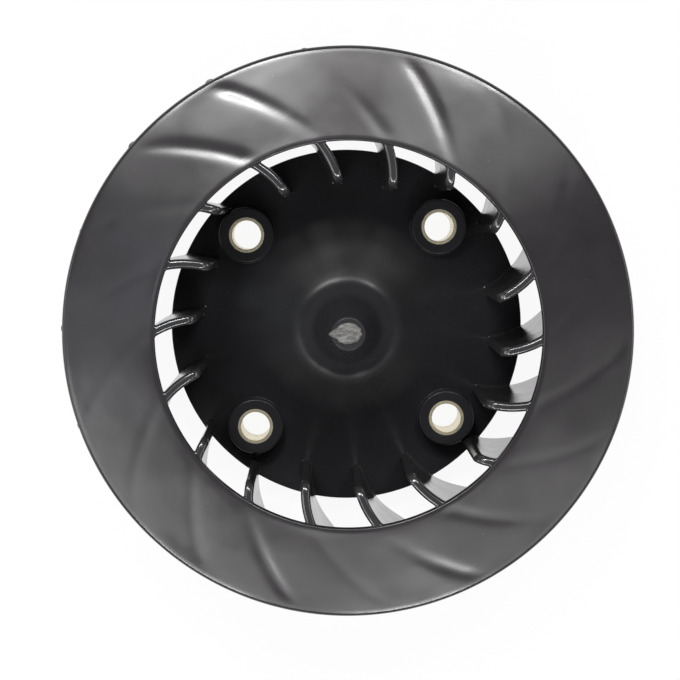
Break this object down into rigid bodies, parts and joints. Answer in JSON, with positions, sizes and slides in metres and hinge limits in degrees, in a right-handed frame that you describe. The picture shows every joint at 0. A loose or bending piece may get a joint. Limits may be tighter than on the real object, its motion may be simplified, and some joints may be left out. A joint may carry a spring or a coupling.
{
  "type": "cooling fan wheel",
  "caption": "Radial cooling fan wheel for a scooter engine: swept blades between a hub cone and a conical front shroud, with metal-sleeved bolt holes.",
  "frame": {"origin": "on the wheel's axis, in the plane of the bosses' back faces, where the wheel is bolted on", "axes": "+Z along the axis towards the air inlet; +X and +Y square to the four bolt holes, which are at 45 degrees between them"},
  "size_m": [0.137, 0.1364, 0.0416],
  "materials": {
    "fan_plastic": "black injection moulding, smooth with a soft shine and faint sink marks",
    "sleeve_metal": "thin rolled steel with a pale yellow plating"
  },
  "bodies": {
    "root": {"fan_wheel": "fan_plastic", "bolt_sleeve_1": "sleeve_metal", "bolt_sleeve_2": "sleeve_metal", "bolt_sleeve_3": "sleeve_metal", "bolt_sleeve_4": "sleeve_metal"}
  },
  "joints": []
}
